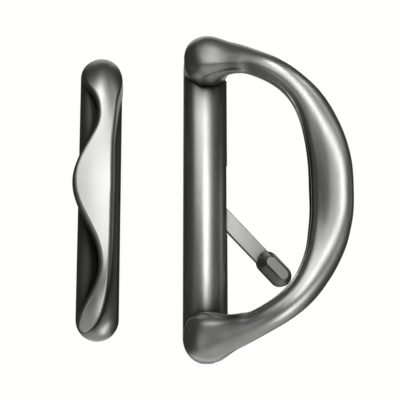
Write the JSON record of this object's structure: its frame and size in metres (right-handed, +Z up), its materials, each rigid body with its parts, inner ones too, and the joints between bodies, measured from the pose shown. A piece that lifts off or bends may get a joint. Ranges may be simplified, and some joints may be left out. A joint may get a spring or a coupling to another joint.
{
  "type": "sliding patio door handle set",
  "caption": "Patio door handle set: D-shaped interior pull with latch lever and half-round cover, and a wave-finned exterior finger pull.",
  "frame": {"origin": "latch lever's pivot on the door face, half way between the two through-screws of the interior handle", "axes": "+Y into the door along the through-screws, +Z up the door along the handles, +X to the right seen from the side that the handles stand out on"},
  "size_m": [0.1679, 0.1014, 0.2108],
  "materials": {
    "satin_nickel": "dark satin nickel plating over a zinc casting, glossy",
    "cover_nickel": "dark satin nickel plating, glossy",
    "lever_nickel": "satin nickel plating",
    "thumb_pad": "dark moulded grip with a satin top",
    "zinc_steel": "bright zinc plating",
    "spring_steel": "oiled spring steel",
    "bush_nylon": "natural nylon",
    "gasket_rubber": "matt black"
  },
  "bodies": {
    "handle": {"interior_base_plate": "zinc_steel", "interior_pull": "satin_nickel", "interior_cover": "cover_nickel", "pull_screw_upper": "zinc_steel", "pull_screw_lower": "zinc_steel", "through_screw_upper": "zinc_steel", "through_screw_lower": "zinc_steel", "cover_clip_upper": "spring_steel", "cover_clip_lower": "spring_steel", "clip_rivet_upper": "zinc_steel", "clip_rivet_lower": "zinc_steel", "lever_bush": "bush_nylon", "disc_spring": "spring_steel", "exterior_pull": "satin_nickel", "exterior_gasket": "gasket_rubber", "mounting_post_upper": "zinc_steel", "mounting_post_lower": "zinc_steel"},
    "lever": {"latch_lever": "lever_nickel", "lever_thumb_pad": "thumb_pad", "lever_spindle": "zinc_steel", "spindle_pin": "zinc_steel", "retaining_ring": "spring_steel"}
  },
  "joints": [
    {"name": "lever_turn", "type": "hinge", "parent": "handle", "child": "lever", "pos_m": [0, 0, 0], "axis": [0, -1, 0], "range_deg": [0, 90]}
  ]
}
